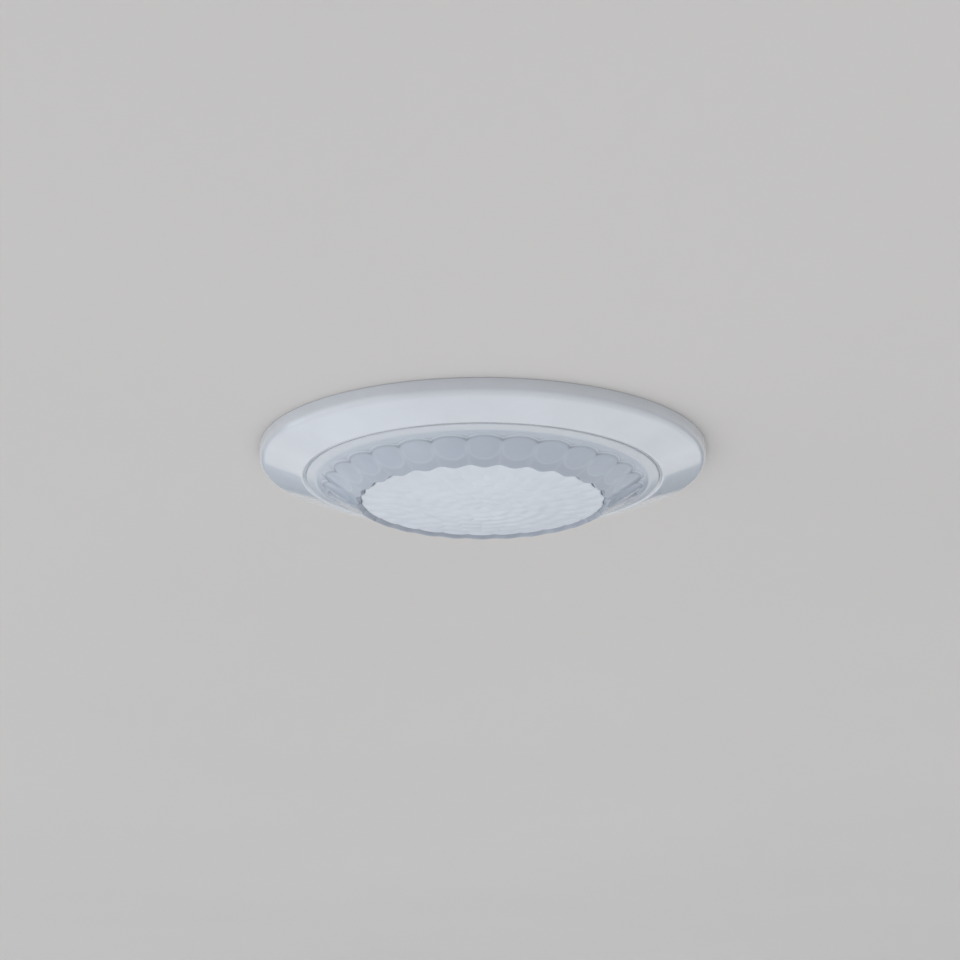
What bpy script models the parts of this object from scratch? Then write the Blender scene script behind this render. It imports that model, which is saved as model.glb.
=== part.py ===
"""A flush ceiling motion sensor: a lens and bezel below the ceiling, a clamped housing above it.

The origin is the middle of the ceiling cut-out, on the ceiling's lower face. +Z points up into
the ceiling, so everything a person sees from the room has a negative height.
Sizes are in millimetres until the last step, which turns the whole model into metres.
"""

import math

import bmesh
import bpy
from mathutils import Matrix, Vector

MM = 0.001
GAP = 0.3
RING_STEPS = 60
PART_STEPS = 20
SMALL_STEPS = 12
SHARP_DEGREES = 35

# Bezel and lens, as radius and height
BEZEL_R = 50.0
BEZEL_FOOT_R = 47.9
BEZEL_SIDE_ROUND = 2.0
BEZEL_SIDE_Z = -1.9
BEZEL_FACE_SLOPE = 18.35
BEZEL_WALL = 1.5
BEZEL_LIP_ROUND = 0.5
BORE_R = 39.9
LIP_Z = -6.0
RIM_R = 39.45
RIM_Z = -6.6
RIM_BACK_Z = -5.3
LENSLETS = 28
LENSLET_STEPS = 4
ARCH_CUSP_R = 34.8
ARCH_TOP_R = 36.2
ARCH_Z = -7.9
BEAD_R = 28.9
BEAD_Z = -12.3
DISC_VALLEY_R = 26.7
DISC_PEAK_R = 27.5
DISC_EDGE_Z = -11.8
DISC_CROWN_Z = -13.3
DIMPLE_R = 1.2
LENS_WALL = 1.2
FACET_DEPTH = 0.3
SKIRT_R = 37.5
SKIRT_WALL = 1.4
KEY_WIDTH = 3.0

# Chassis and housing
COLLAR_R = 39.5
COLLAR_WALL = 1.7
COLLAR_Z = -4.9
PLATE = 1.6
CHASSIS_FLANGE_R = 47.5
BARREL_R = 33.5
BARREL_WALL = 1.8
BARREL_TOP = 10.0
LEDGE_R = 29.3
LEDGE_TOP = 0.7
SPIGOT_R = 31.4
SPIGOT_WALL = 1.5
SPIGOT_LOW = 3.0
HOUSING_TOP = 29.6
HOUSING_WALL = 1.6
POCKET_X = 29.0
POCKET_HALF_Y = 9.3
POCKET_LOW = 12.0
SNAP_ANGLES = (45, 135, 225, 315)
SNAP_WIDTH = 7.0
SNAP_LOW = 6.3
SNAP_HIGH = 8.2

# Sprung arms
ARM_PIN_X = 31.3
ARM_PIN_Z = 17.0
ARM_PIN_R = 1.0
ARM_HALF_Y = 5.6
ARM_LENGTH = 23.0
ARM_SHEET = 1.2
ARM_EYE_R = 2.0
ARM_REST_DEGREES = -37
SPRING_COIL_R = 1.7
SPRING_WIRE_R = 0.3
SPRING_TURNS = 5
SPRING_HALF_Y = 3.4
EAR_SHEET = 1.6
ARM_PIN_HALF = ARM_HALF_Y + GAP + EAR_SHEET + 0.8

# Boards
BOARD = 1.6
SENSOR_BOARD_R = 31.2
SENSOR_BOARD_LOW = 1.0
POWER_BOARD_LOW = 24.0
POWER_BOARD_FLAT_X = 26.9
POWER_SCREWS = ((20, 18), (-20, -18))
BAFFLE_R = 35.6
BAFFLE_HIGH = -1.9
BAFFLE_LOW = -3.1
HEADER_Y = 24.0
HEADER_PINS = 5
HEADER_PITCH = 2.54

# Controls stand on one circle round the infrared sensor
CONTROL_CIRCLE_R = 18.0
CONTROL_ANGLES = {
    "time": 210,
    "brightness": 270,
    "range": 330,
    "button": 30,
    "guide": 90,
    "status": 150,
}
DIAL_R = 3.3
BUTTON_R = 2.2
GUIDE_R = 1.7
STATUS_R = 1.5
CAN_R = 4.55
CAN_LOW = -3.6

# Terminals and their cover
POLES = 4
POLE_PITCH = 5.08
BLOCK_HALF_X = 10.8
BLOCK_HALF_Y = 4.6
BLOCK_LOW = POWER_BOARD_LOW + BOARD + GAP
BLOCK_HIGH = 37.4
COVER_HALF_X = 20.0
COVER_FRONT_Y = -13.0
COVER_BACK_Y = 11.0
COVER_LOW = HOUSING_TOP + GAP
COVER_HIGH = 42.4
COVER_WALL = 1.4
COVER_CHAMFER = 1.0
GRIP_RIDGES = 3
GRIP_PITCH = 1.5
VENT_ROWS = 5
VENT_PITCH = 3.0
VENT_WIDTH = 1.4
CABLE_R = 4.2
HINGE_Y = 13.2
HINGE_Z = 32.2
HINGE_EYE_R = 2.0
HINGE_PIN_R = 0.9
HINGE_EAR_X = 16.5
HINGE_KNUCKLE_X = 13.6


def clear_scene():
    for old in list(bpy.data.objects):
        bpy.data.objects.remove(old, do_unlink=True)


# Materials


def plastic(name, colour, roughness=0.4):
    return surface(name, colour, roughness, 0.0)


def metal(name, colour, roughness=0.3):
    return surface(name, colour, roughness, 1.0)


def surface(name, colour, roughness, metallic):
    material = bpy.data.materials.new(name)
    material.use_nodes = True
    shader = material.node_tree.nodes["Principled BSDF"]
    shader.inputs["Base Color"].default_value = (*colour, 1.0)
    shader.inputs["Roughness"].default_value = roughness
    shader.inputs["Metallic"].default_value = metallic
    material.diffuse_color = (*colour, 1.0)
    return material


# Outlines and meshes


def on_circle(radius, degrees, centre=(0, 0)):
    angle = math.radians(degrees)
    return centre[0] + radius * math.cos(angle), centre[1] + radius * math.sin(angle)


def arc(centre, radius, start, end, steps):
    """Points along an arc, from the start angle to the end angle in degrees."""
    return [
        on_circle(radius, start + (end - start) * step / steps, centre)
        for step in range(steps + 1)
    ]


def rounded_rectangle(low_x, high_x, low_y, high_y, corner, steps=2):
    outline = []
    corners = ((high_x, high_y, 0), (low_x, high_y, 90), (low_x, low_y, 180), (high_x, low_y, 270))
    for x, y, start in corners:
        centre_x = x - math.copysign(corner, x - (low_x + high_x) / 2)
        centre_y = y - math.copysign(corner, y - (low_y + high_y) / 2)
        outline += arc((centre_x, centre_y), corner, start, start + 90, steps)
    return outline


def turned(outline_at, steps, centre=(0, 0)):
    """A closed outline of (radius, height) points turned about a vertical axis.

    outline_at(turn) gives the outline at that share of a full turn, so the radii may vary round it.
    """
    bm = bmesh.new()
    poles = {}
    columns = []
    for step in range(steps):
        column = []
        for row, (radius, height) in enumerate(outline_at(step / steps)):
            x, y = on_circle(radius, 360 * step / steps, centre)
            if radius > 0:
                column.append(bm.verts.new((x, y, height)))
            else:
                if row not in poles:
                    poles[row] = bm.verts.new((x, y, height))
                column.append(poles[row])
        columns.append(column)
    for step, column in enumerate(columns):
        following = columns[(step + 1) % steps]
        for row in range(len(column)):
            below = (row + 1) % len(column)
            corners = []
            for corner in (column[row], following[row], following[below], column[below]):
                if corner not in corners:
                    corners.append(corner)
            if len(corners) > 2:
                bm.faces.new(corners)
    flat_poles = [pole for pole in poles.values() if is_flat(pole)]
    bmesh.ops.dissolve_verts(bm, verts=flat_poles)
    return bm


def is_flat(pole):
    return all(abs(edge.other_vert(pole).co.z - pole.co.z) < 1e-6 for edge in pole.link_edges)


def lathe(outline, steps=PART_STEPS, centre=(0, 0)):
    return turned(lambda turn: outline, steps, centre)


def rod(radius, low, high, centre=(0, 0), steps=PART_STEPS):
    return lathe([(0, low), (radius, low), (radius, high), (0, high)], steps, centre)


def prism(outline, low, high):
    """A flat outline in X and Y raised from one height to another."""
    bm = bmesh.new()
    bottom = [bm.verts.new((x, y, low)) for x, y in outline]
    top = [bm.verts.new((x, y, high)) for x, y in outline]
    bm.faces.new(bottom[::-1])
    bm.faces.new(top)
    for index in range(len(outline)):
        after = (index + 1) % len(outline)
        bm.faces.new((bottom[index], bottom[after], top[after], top[index]))
    return bm


def block(low_corner, high_corner, corner=0.0):
    (low_x, low_y, low_z), (high_x, high_y, high_z) = low_corner, high_corner
    if corner:
        return prism(rounded_rectangle(low_x, high_x, low_y, high_y, corner), low_z, high_z)
    outline = [(low_x, low_y), (high_x, low_y), (high_x, high_y), (low_x, high_y)]
    return prism(outline, low_z, high_z)


def along_y(bm):
    """Lay a vertical shape along Y: its height becomes -Y and its Y becomes Z."""
    bm.transform(Matrix.Rotation(math.radians(90), 4, "X"))
    return bm


def along_x(bm):
    """Lay a vertical shape along X: its height becomes X and its X becomes -Z."""
    bm.transform(Matrix.Rotation(math.radians(90), 4, "Y"))
    return bm


def chamfered_block(low_corner, high_corner, corner, chamfer):
    """A block with rounded corners in plan and a chamfer round its top."""
    (low_x, low_y, low_z), (high_x, high_y, high_z) = low_corner, high_corner
    bm = bmesh.new()
    rings = []
    for height, inset in ((low_z, 0), (high_z - chamfer, 0), (high_z, chamfer)):
        outline = rounded_rectangle(
            low_x + inset, high_x - inset, low_y + inset, high_y - inset, corner - inset
        )
        rings.append([bm.verts.new((x, y, height)) for x, y in outline])
    for lower, upper in zip(rings, rings[1:]):
        for index in range(len(lower)):
            after = (index + 1) % len(lower)
            bm.faces.new((lower[index], lower[after], upper[after], upper[index]))
    bm.faces.new(rings[0][::-1])
    bm.faces.new(rings[-1])
    return bm


def moved(bm, x=0, y=0, z=0):
    bm.transform(Matrix.Translation((x, y, z)))
    return bm


def tube_along(points, radius, sides=5):
    """A round wire through the given points, with flat ends."""
    bm = bmesh.new()
    points = [Vector(point) for point in points]
    side = None
    rings = []
    for index, point in enumerate(points):
        before = points[max(index - 1, 0)]
        after = points[min(index + 1, len(points) - 1)]
        forward = (after - before).normalized()
        if side is None:
            side = forward.orthogonal()
        side = (side - forward * side.dot(forward)).normalized()
        other = forward.cross(side)
        ring = []
        for step in range(sides):
            x, y = on_circle(radius, 360 * step / sides)
            ring.append(bm.verts.new(point + side * x + other * y))
        rings.append(ring)
    for ring, following in zip(rings, rings[1:]):
        for step in range(sides):
            after = (step + 1) % sides
            bm.faces.new((ring[step], ring[after], following[after], following[step]))
    bm.faces.new(rings[0][::-1])
    bm.faces.new(rings[-1])
    return bm


# Objects


def solid(name, bm, material=None):
    bmesh.ops.recalc_face_normals(bm, faces=bm.faces)
    mesh = bpy.data.meshes.new(name)
    bm.to_mesh(mesh)
    bm.free()
    if material:
        mesh.materials.append(material)
    made = bpy.data.objects.new(name, mesh)
    bpy.context.scene.collection.objects.link(made)
    return made


def combine(target, shapes, operation):
    """Join shapes to a solid or cut them from it, and keep the result as its own mesh."""
    tools = [solid(f"{target.name}_tool", shape) for shape in shapes]
    for tool in tools:
        modifier = target.modifiers.new("combine", "BOOLEAN")
        modifier.operation = operation
        modifier.object = tool
    graph = bpy.context.evaluated_depsgraph_get()
    result = bpy.data.meshes.new_from_object(target.evaluated_get(graph))
    target.modifiers.clear()
    target.data = result
    result.name = target.name
    for tool in tools:
        bpy.data.objects.remove(tool, do_unlink=True)
    return target


def join(target, *shapes):
    return combine(target, shapes, "UNION")


def cut(target, *shapes):
    return combine(target, shapes, "DIFFERENCE")


def put_origin(made, x, y, z):
    """Place an object's origin on the axis that it turns or slides on."""
    made.data.transform(Matrix.Translation((-x, -y, -z)))
    made.location = (x, y, z)
    return made


def mirror_in_x(bm, mirrored):
    if mirrored:
        bm.transform(Matrix.Scale(-1, 4, (1, 0, 0)))
    return bm


# Bezel and lens


def make_trim_ring():
    face_normal = BEZEL_FACE_SLOPE - 90
    side_centre = (BEZEL_R - BEZEL_SIDE_ROUND, BEZEL_SIDE_Z)
    lip_centre = (BORE_R + BEZEL_LIP_ROUND, LIP_Z)
    sleeve_r = BORE_R + BEZEL_WALL
    back_of_plate = -PLATE - GAP
    face_back_z = LIP_Z - BEZEL_LIP_ROUND + BEZEL_WALL + 0.4
    outline = [(BEZEL_R, 0)]
    outline += arc(side_centre, BEZEL_SIDE_ROUND, 0, face_normal, 4)
    outline += arc(lip_centre, BEZEL_LIP_ROUND, face_normal, -180, 4)
    outline += [
        (BORE_R, back_of_plate),
        (sleeve_r, back_of_plate),
        (sleeve_r, face_back_z),
        (BEZEL_FOOT_R, back_of_plate),
        (BEZEL_FOOT_R, 0),
    ]
    white = plastic("bezel_white", (0.80, 0.82, 0.84), 0.32)
    ring = solid("trim_ring", lathe(outline, RING_STEPS), white)
    return put_origin(ring, 0, 0, LIP_Z)


def lens_outline(turn):
    """The lens cap's section at one share of a turn, where arches and scallops have swung so far.

    The disc sits a little above the bead that rings it, and its crown bulges past the bead.
    """
    swing = (turn * LENSLETS + 0.5) % 1
    arch = abs(math.sin(math.pi * swing))
    arch_r = ARCH_CUSP_R + (ARCH_TOP_R - ARCH_CUSP_R) * arch
    rim_slope = (RIM_Z - ARCH_Z) / (RIM_R - ARCH_CUSP_R)
    arch_z = ARCH_Z + (arch_r - ARCH_CUSP_R) * rim_slope
    disc_r = DISC_PEAK_R - (DISC_PEAK_R - DISC_VALLEY_R) * arch
    skirt_in = SKIRT_R - SKIRT_WALL
    step = 0.25
    return [
        (0, DISC_CROWN_Z + FACET_DEPTH),
        (DIMPLE_R, DISC_CROWN_Z),
        (DISC_VALLEY_R * 0.6, (DISC_CROWN_Z * 0.6 + DISC_EDGE_Z * 0.4)),
        (disc_r, DISC_EDGE_Z),
        (BEAD_R, BEAD_Z),
        (arch_r - step, arch_z + FACET_DEPTH),
        (arch_r, arch_z),
        (RIM_R, RIM_Z),
        (RIM_R, RIM_BACK_Z),
        (SKIRT_R, RIM_BACK_Z),
        (SKIRT_R, BAFFLE_HIGH + GAP),
        (skirt_in, BAFFLE_HIGH + GAP),
        (skirt_in, RIM_BACK_Z),
        (ARCH_CUSP_R, ARCH_Z + LENS_WALL + FACET_DEPTH),
        (BEAD_R - LENS_WALL, BEAD_Z + LENS_WALL),
        (0, DISC_CROWN_Z + LENS_WALL + FACET_DEPTH),
    ]


def make_fresnel_lens():
    frosted = plastic("lens_frosted", (0.60, 0.66, 0.71), 0.22)
    lens = solid("fresnel_lens", turned(lens_outline, LENSLETS * LENSLET_STEPS), frosted)
    half = KEY_WIDTH / 2
    key = block((SKIRT_R - 0.6, -half, RIM_BACK_Z + 0.8), (SKIRT_R + 1.1, half, BAFFLE_HIGH))
    join(lens, key)
    return put_origin(lens, 0, 0, RIM_Z)


# Chassis and housing


def make_chassis():
    collar_in = COLLAR_R - COLLAR_WALL
    barrel_in = BARREL_R - BARREL_WALL
    outline = [
        (collar_in, COLLAR_Z),
        (COLLAR_R, COLLAR_Z),
        (COLLAR_R, -PLATE),
        (CHASSIS_FLANGE_R, -PLATE),
        (CHASSIS_FLANGE_R, 0),
        (BARREL_R, 0),
        (BARREL_R, BARREL_TOP),
        (barrel_in, BARREL_TOP),
        (barrel_in, LEDGE_TOP),
        (LEDGE_R, LEDGE_TOP),
        (LEDGE_R, -PLATE),
        (collar_in, -PLATE),
    ]
    grey = plastic("chassis_white", (0.74, 0.75, 0.76), 0.5)
    chassis = solid("chassis", lathe(outline, RING_STEPS), grey)
    half_key = KEY_WIDTH / 2 + GAP
    key_slot = block((collar_in - 1, -half_key, COLLAR_Z - 1), (SKIRT_R + 1.4, half_key, -PLATE + 0.5))
    windows = [
        snap_block(angle, barrel_in - 1, BARREL_R + 1, GAP) for angle in SNAP_ANGLES
    ]
    return cut(chassis, key_slot, *windows)


def snap_block(angle, inner, outer, margin=0.0):
    """A block on the barrel's wall, for a snap window or, without a margin, its barb."""
    half = SNAP_WIDTH / 2 + margin
    bm = block((inner, -half, SNAP_LOW - margin), (outer, half, SNAP_HIGH + margin))
    bm.transform(Matrix.Rotation(math.radians(angle), 4, "Z"))
    return bm


def pocket_blocks(face_x, half_y, low, high):
    """The two blocks beyond a face on each side, where the housing makes room for an arm."""
    beyond = BARREL_R + 5
    return [
        block((face_x, -half_y, low), (beyond, half_y, high)),
        block((-beyond, -half_y, low), (-face_x, half_y, high)),
    ]


def housing_cavity():
    """The hollow inside the housing, narrowed beside the two arm pockets."""
    spigot_in = SPIGOT_R - SPIGOT_WALL
    wall_in = BARREL_R - HOUSING_WALL
    step_low = BARREL_TOP + GAP
    outline = [
        (0, SPIGOT_LOW - 1),
        (spigot_in, SPIGOT_LOW - 1),
        (spigot_in, step_low),
        (wall_in, step_low + 2),
        (wall_in, HOUSING_TOP - HOUSING_WALL),
        (0, HOUSING_TOP - HOUSING_WALL),
    ]
    cavity = solid("housing_cavity", lathe(outline, RING_STEPS))
    walls = pocket_blocks(
        POCKET_X - HOUSING_WALL, POCKET_HALF_Y + HOUSING_WALL, step_low, HOUSING_TOP + 1
    )
    cut(cavity, *walls)
    bm = bmesh.new()
    bm.from_mesh(cavity.data)
    bpy.data.objects.remove(cavity, do_unlink=True)
    return bm


def arm_ear(side, y):
    """A drilled ear in an arm pocket, on one side of the arm."""
    outline = [(POCKET_X - 0.4, -3.4), (ARM_PIN_X, -HINGE_EYE_R - 0.1)]
    outline += arc((ARM_PIN_X, 0), HINGE_EYE_R + 0.1, -60, 60, 4)
    outline += [(ARM_PIN_X, HINGE_EYE_R + 0.1), (POCKET_X - 0.4, 3.4)]
    bm = along_y(prism(outline, -EAR_SHEET / 2, EAR_SHEET / 2))
    return mirror_in_x(moved(bm, 0, y, ARM_PIN_Z), side < 0)


def cover_ear(x):
    """An ear on the roof that holds the end of the cover's hinge pin."""
    width = 2.0
    roof = HOUSING_TOP - 0.4 - HINGE_Z
    outline = [(HINGE_Y + HINGE_EYE_R, roof)]
    outline += [(HINGE_Y + radius_x, height) for radius_x, height in arc((0, 0), HINGE_EYE_R, 0, 180, 6)]
    outline += [(HINGE_Y - HINGE_EYE_R, roof)]
    bm = prism(outline, -width / 2, width / 2)
    bm.transform(Matrix(((0, 0, 1, x), (1, 0, 0, 0), (0, 1, 0, HINGE_Z), (0, 0, 0, 1))))
    return bm


def make_rear_housing():
    outline = [
        (0, SPIGOT_LOW),
        (SPIGOT_R, SPIGOT_LOW),
        (SPIGOT_R, BARREL_TOP + GAP),
        (BARREL_R, BARREL_TOP + GAP),
        (BARREL_R, HOUSING_TOP - 1.0),
        (BARREL_R - 1.0, HOUSING_TOP),
        (0, HOUSING_TOP),
    ]
    grey = plastic("housing_grey", (0.72, 0.73, 0.73), 0.5)
    housing = solid("rear_housing", lathe(outline, RING_STEPS), grey)
    cut(housing, *pocket_blocks(POCKET_X, POCKET_HALF_Y, POCKET_LOW, HOUSING_TOP + 1))
    cut(housing, housing_cavity())
    ear_y = ARM_HALF_Y + GAP + EAR_SHEET / 2
    additions = [arm_ear(side, y) for side in (1, -1) for y in (ear_y, -ear_y)]
    additions += [snap_block(angle, SPIGOT_R - 0.5, SPIGOT_R + 1.4) for angle in SNAP_ANGLES]
    additions += [cover_ear(x) for x in (HINGE_EAR_X, -HINGE_EAR_X)]
    additions += [rod(2.4, BLOCK_LOW, HOUSING_TOP - 1, centre) for centre in POWER_SCREWS]
    join(housing, *additions)
    terminal_hole = block(
        (-BLOCK_HALF_X - 0.5, -BLOCK_HALF_Y - 0.5, HOUSING_TOP - 3),
        (BLOCK_HALF_X + 0.5, BLOCK_HALF_Y + 0.5, HOUSING_TOP + 1),
    )
    holes = [rod(1.3, BLOCK_LOW - 1, HOUSING_TOP - 0.6, centre, SMALL_STEPS) for centre in POWER_SCREWS]
    holes += [arm_pin_hole(side) for side in (1, -1)]
    holes.append(moved(along_x(rod(HINGE_PIN_R + GAP, -22, 22, steps=SMALL_STEPS)), 0, HINGE_Y, HINGE_Z))
    holes += roof_vents()
    return cut(housing, terminal_hole, *holes)


def roof_vents():
    """Slots through the roof in front of the terminal cover and behind it."""
    vents = []
    for row in range(VENT_ROWS):
        x = (row - (VENT_ROWS - 1) / 2) * VENT_PITCH * 2
        for low_y, high_y in ((-27.0, -17.0), (18.5, 26.5)):
            half = VENT_WIDTH / 2
            slot = block((x - half, low_y, HOUSING_TOP - 3), (x + half, high_y, HOUSING_TOP + 1), 0.6)
            vents.append(slot)
    return vents


# Sprung arms


def arm_plane(bm):
    """Turn a shape drawn along the arm (X outwards, Z above it) to the arm's rest angle."""
    bm.transform(Matrix.Rotation(math.radians(-ARM_REST_DEGREES), 4, "Y"))
    return moved(bm, ARM_PIN_X, 0, ARM_PIN_Z)


def make_spring_arm(name, side):
    """A bent sheet arm: a plate with an upturned toe, hung from two drilled cheeks."""
    toe_r = 3.0
    low = -ARM_EYE_R
    toe_centre = (ARM_LENGTH - toe_r, low + toe_r)
    plate = [(3.2, low)] + arc(toe_centre, toe_r, -90, -20, 4)
    plate += arc(toe_centre, toe_r - ARM_SHEET, -20, -90, 4) + [(3.2, low + ARM_SHEET)]
    cheek = [(9.0, low + 0.05), (9.0, low + ARM_SHEET - 0.05), (5.0, ARM_EYE_R * 0.7)]
    cheek += arc((0, 0), ARM_EYE_R, 60, 270, 7)
    steel = metal("arm_steel", (0.62, 0.63, 0.65), 0.3)
    sheet = arm_plane(along_y(prism(plate, -ARM_HALF_Y, ARM_HALF_Y)))
    arm = solid(name, mirror_in_x(sheet, side < 0), steel)
    cheek_sheet = 1.0
    cheeks = []
    for low_y in (-ARM_HALF_Y, ARM_HALF_Y - cheek_sheet):
        bm = along_y(prism(cheek, -low_y - cheek_sheet, -low_y))
        cheeks.append(mirror_in_x(arm_plane(bm), side < 0))
    join(arm, *cheeks)
    cut(arm, arm_pin_hole(side))
    return put_origin(arm, side * ARM_PIN_X, 0, ARM_PIN_Z)


def arm_pin_hole(side):
    """The running hole through the ears and the arm, which stops short of the pocket's sides."""
    half = ARM_PIN_HALF + GAP
    hole = along_y(rod(ARM_PIN_R + GAP, -half, half, steps=SMALL_STEPS))
    return moved(hole, side * ARM_PIN_X, 0, ARM_PIN_Z)


def make_arm_pin(name, side):
    steel = metal("pin_steel", (0.7, 0.7, 0.72), 0.25)
    pin = along_y(rod(ARM_PIN_R, -ARM_PIN_HALF, ARM_PIN_HALF, steps=SMALL_STEPS))
    return solid(name, moved(pin, side * ARM_PIN_X, 0, ARM_PIN_Z), steel)


def make_torsion_spring(name, side):
    """A coil round the arm's pin, with one leg up the housing wall and one along the arm."""
    steps_per_turn = 10
    points = [(ARM_PIN_X - SPRING_COIL_R, -SPRING_HALF_Y, ARM_PIN_Z + 6)]
    for step in range(SPRING_TURNS * steps_per_turn + 1):
        share = step / (SPRING_TURNS * steps_per_turn)
        degrees = 180 + share * (SPRING_TURNS * 360 - 90 + ARM_REST_DEGREES)
        x, z = on_circle(SPRING_COIL_R, degrees, (ARM_PIN_X, ARM_PIN_Z))
        points.append((x, (2 * share - 1) * SPRING_HALF_Y, z))
    leg = Matrix.Rotation(math.radians(-ARM_REST_DEGREES), 3, "Y") @ Vector((11, 0, 0.1))
    points.append((ARM_PIN_X + leg.x, SPRING_HALF_Y, ARM_PIN_Z + leg.z))
    wire = metal("spring_wire", (0.55, 0.56, 0.58), 0.3)
    return solid(name, mirror_in_x(tube_along(points, SPRING_WIRE_R), side < 0), wire)


# Sensor board, and what it carries


def control_place(name):
    return on_circle(CONTROL_CIRCLE_R, CONTROL_ANGLES[name])


def make_baffle_plate():
    ivory = plastic("baffle_white", (0.78, 0.78, 0.76), 0.55)
    plate = solid("baffle_plate", rod(BAFFLE_R, BAFFLE_LOW, BAFFLE_HIGH, steps=RING_STEPS), ivory)
    low, high = BAFFLE_LOW - 1, BAFFLE_HIGH + 1
    holes = [rod(CAN_R + 1.0, low, high)]
    radii = {"button": BUTTON_R + 0.4, "guide": GUIDE_R + 0.4, "status": STATUS_R + 0.4}
    for name in CONTROL_ANGLES:
        holes.append(rod(radii.get(name, DIAL_R + 0.4), low, high, control_place(name)))
    return cut(plate, *holes)


def make_sensor_board():
    green = plastic("board_green", (0.03, 0.22, 0.10), 0.45)
    high = SENSOR_BOARD_LOW + BOARD
    return solid("sensor_board", rod(SENSOR_BOARD_R, SENSOR_BOARD_LOW, high, steps=48), green)


def make_pir_sensor_can():
    """A metal can with a flange against the board and a square recess for its window."""
    board = SENSOR_BOARD_LOW - GAP
    outline = [
        (0, CAN_LOW),
        (CAN_R - 0.4, CAN_LOW),
        (CAN_R, CAN_LOW + 0.4),
        (CAN_R, board - 0.5),
        (CAN_R + 0.45, board - 0.5),
        (CAN_R + 0.45, board),
        (0, board),
    ]
    nickel = metal("can_nickel", (0.72, 0.71, 0.68), 0.28)
    can = solid("pir_sensor_can", lathe(outline, 32), nickel)
    half = 2.4
    return cut(can, block((-half, -half, CAN_LOW - 1), (half, half, CAN_LOW + 0.8)))


def make_pir_sensor_window():
    half = 2.1
    silicon = plastic("window_silicon", (0.10, 0.10, 0.12), 0.15)
    window = block((-half, -half, CAN_LOW + 0.05), (half, half, CAN_LOW + 0.5))
    return solid("pir_sensor_window", window, silicon)


def make_light_sensor():
    black = plastic("light_sensor_black", (0.05, 0.05, 0.06), 0.3)
    board = SENSOR_BOARD_LOW - GAP
    return solid("light_sensor", rod(2.0, board - 1.9, board, control_place("guide")), black)


def make_light_guide():
    clear = plastic("guide_clear", (0.85, 0.88, 0.90), 0.1)
    low, high = -6.5, -1.5
    round_end = 0.7
    outline = [(0, low), (GUIDE_R - round_end, low)]
    outline += arc((GUIDE_R - round_end, low + round_end), round_end, -60, 0, 2)
    outline += [(GUIDE_R, high), (0, high)]
    return solid("light_guide", lathe(outline, PART_STEPS, control_place("guide")), clear)


def make_status_light():
    board = SENSOR_BOARD_LOW - GAP
    dome_z = -2.6
    foot_r = STATUS_R + 0.35
    outline = [(0, dome_z - STATUS_R)]
    outline += arc((0, dome_z), STATUS_R, -60, 0, 3)
    outline += [(STATUS_R, board - 0.6), (foot_r, board - 0.6), (foot_r, board), (0, board)]
    red = plastic("status_red", (0.60, 0.05, 0.04), 0.2)
    return solid("status_light", lathe(outline, PART_STEPS, control_place("status")), red)


def make_dial(name):
    """A round knob with a screwdriver slot, a pointer notch and a shaft."""
    x, y = control_place(name)
    low, high, shaft_top = -4.6, -1.7, -0.4
    outline = [(0, low), (DIAL_R - 0.4, low), (DIAL_R, low + 0.4), (DIAL_R, high), (1.0, high)]
    outline += [(1.0, shaft_top), (0, shaft_top)]
    orange = plastic(f"{name}_dial_colour", (0.80, 0.30, 0.06), 0.4)
    dial = solid(f"{name}_dial", lathe(outline, 24, (x, y)), orange)
    slot = block((x - 2.3, y - 0.45, low - 1), (x + 2.3, y + 0.45, low + 1.0))
    notch = block((x + DIAL_R - 0.7, y - 0.3, low - 1), (x + DIAL_R + 1, y + 0.3, low + 0.7))
    cut(dial, slot, notch)
    return put_origin(dial, x, y, low)


def make_potentiometer(name):
    x, y = control_place(name)
    half = 3.6
    board = SENSOR_BOARD_LOW - GAP
    low = board - 2.1
    blue = plastic(f"{name}_potentiometer_colour", (0.06, 0.16, 0.45), 0.4)
    body = block((x - half, y - half, low), (x + half, y + half, board), 0.5)
    body = solid(f"{name}_potentiometer", body, blue)
    return cut(body, rod(1.3, low - 1, board - 0.5, (x, y), SMALL_STEPS))


def make_test_button():
    x, y = control_place("button")
    low, collar_low, collar_high = -4.4, -1.6, -1.15
    outline = [(0, low), (BUTTON_R - 0.4, low), (BUTTON_R, low + 0.4), (BUTTON_R, collar_low)]
    outline += [(BUTTON_R + 0.8, collar_low), (BUTTON_R + 0.8, collar_high), (0, collar_high)]
    white = plastic("button_grey", (0.55, 0.57, 0.60), 0.4)
    button = solid("test_button", lathe(outline, PART_STEPS, (x, y)), white)
    return put_origin(button, x, y, low)


def make_test_switch():
    x, y = control_place("button")
    half = 3.0
    board = SENSOR_BOARD_LOW - GAP
    black = plastic("switch_black", (0.04, 0.04, 0.045), 0.4)
    body = block((x - half, y - half, board - 1.2), (x + half, y + half, board), 0.4)
    return solid("test_switch", body, black)


# Between the boards


def header_positions():
    first = -(HEADER_PINS - 1) / 2 * HEADER_PITCH
    return [first + index * HEADER_PITCH for index in range(HEADER_PINS)]


def make_board_header():
    low = SENSOR_BOARD_LOW + BOARD + GAP
    half_x = HEADER_PINS * HEADER_PITCH / 2
    gold = metal("header_gold", (0.75, 0.58, 0.26), 0.3)
    strip = block((-half_x, HEADER_Y - 1.27, low), (half_x, HEADER_Y + 1.27, low + 2.5))
    header = solid("board_header", strip, gold)
    half = 0.32
    pins = [
        block((x - half, HEADER_Y - half, low + 1), (x + half, HEADER_Y + half, 21.5))
        for x in header_positions()
    ]
    return join(header, *pins)


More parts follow.
